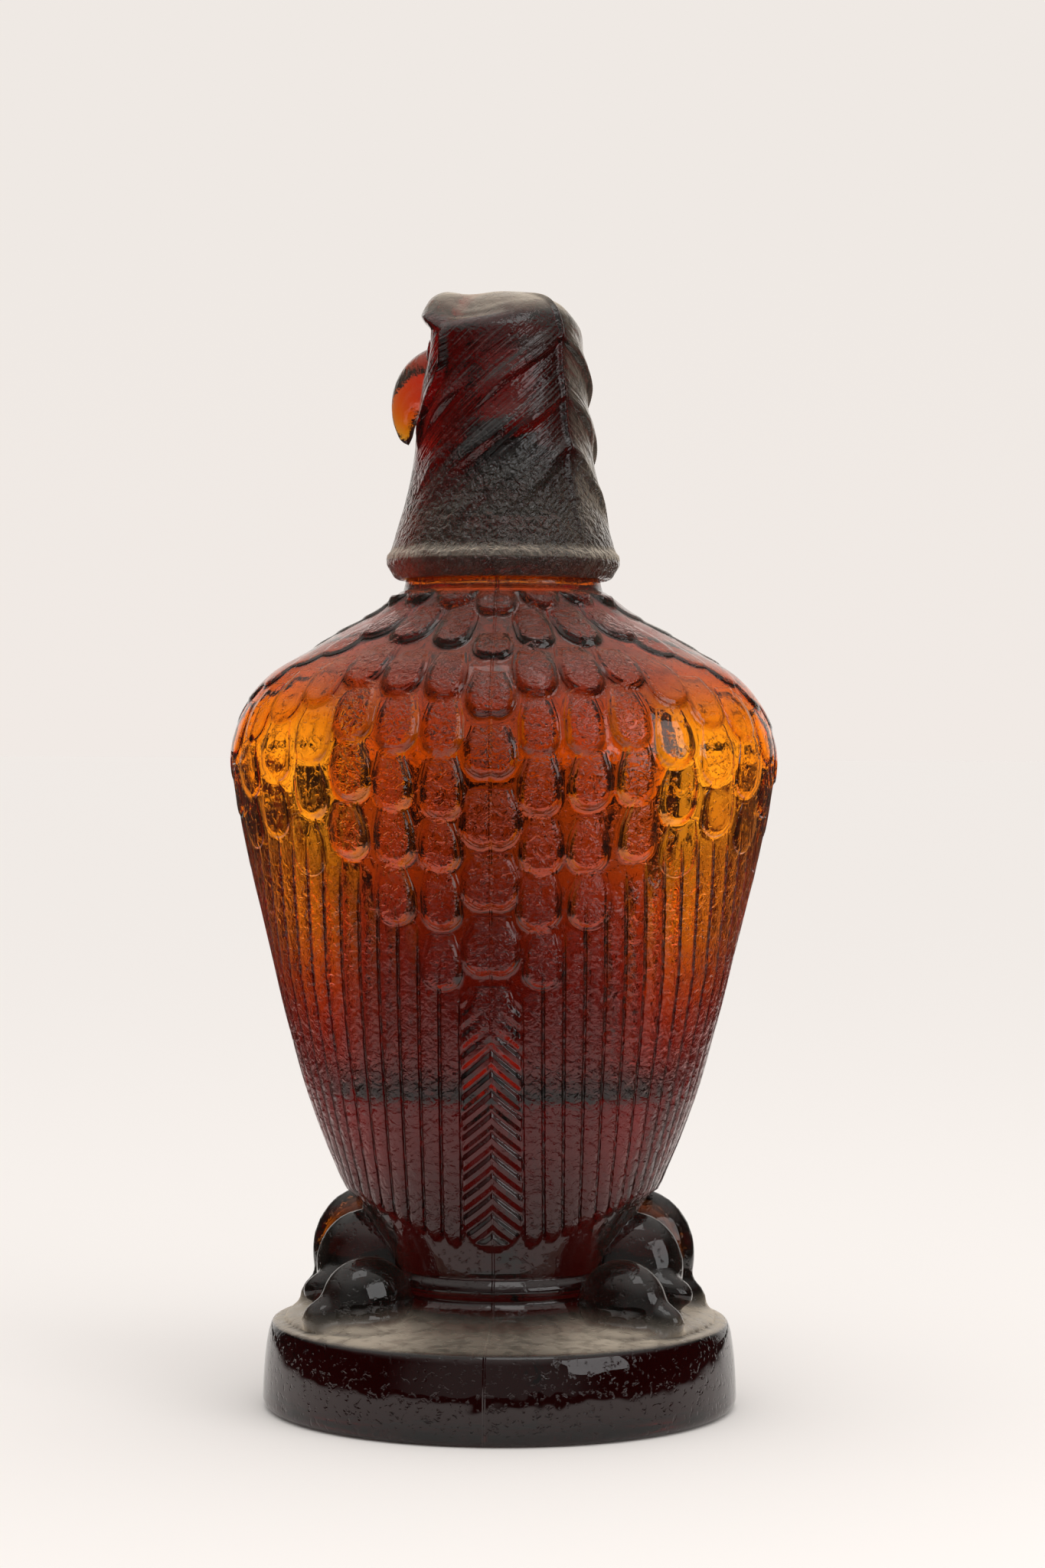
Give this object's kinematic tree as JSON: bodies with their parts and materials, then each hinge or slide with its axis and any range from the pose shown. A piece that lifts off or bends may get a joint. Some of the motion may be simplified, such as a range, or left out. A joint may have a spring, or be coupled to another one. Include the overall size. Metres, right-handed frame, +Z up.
{
  "type": "figural liquor decanter",
  "caption": "Amber glass decanter in the form of a perched eagle on a round plinth; the head is a glass cup that turns and lifts off to reach the cork in the neck.",
  "frame": {"origin": "centre of the plinth's underside, on the plane that it stands on", "axes": "+Z up along the bottle's axis, +X to the bird's right, +Y the way the breast faces"},
  "size_m": [0.153, 0.1296, 0.305],
  "materials": {
    "amber_glass": "fire-polished moulded glass with raised feathers",
    "cork": "natural cork",
    "ring_rubber": "soft matt rubber"
  },
  "bodies": {
    "bottle": {"bottle": "amber_glass"},
    "seat_ring": {"seat_ring": "ring_rubber"},
    "head": {"eagle_head": "amber_glass"},
    "stopper": {"cork_stopper": "cork"}
  },
  "joints": [
    {"name": "head_turn", "type": "hinge", "parent": "bottle", "child": "seat_ring", "pos_m": [0, 0, 0.242], "axis": [0, 0, 1], "continuous": true},
    {"name": "head_lift", "type": "slide", "parent": "seat_ring", "child": "head", "axis": [0, 0, 1], "range_m": [0, 0.1]},
    {"name": "stopper_pull", "type": "slide", "parent": "bottle", "child": "stopper", "axis": [0, 0, 1], "range_m": [0, 0.018]}
  ]
}
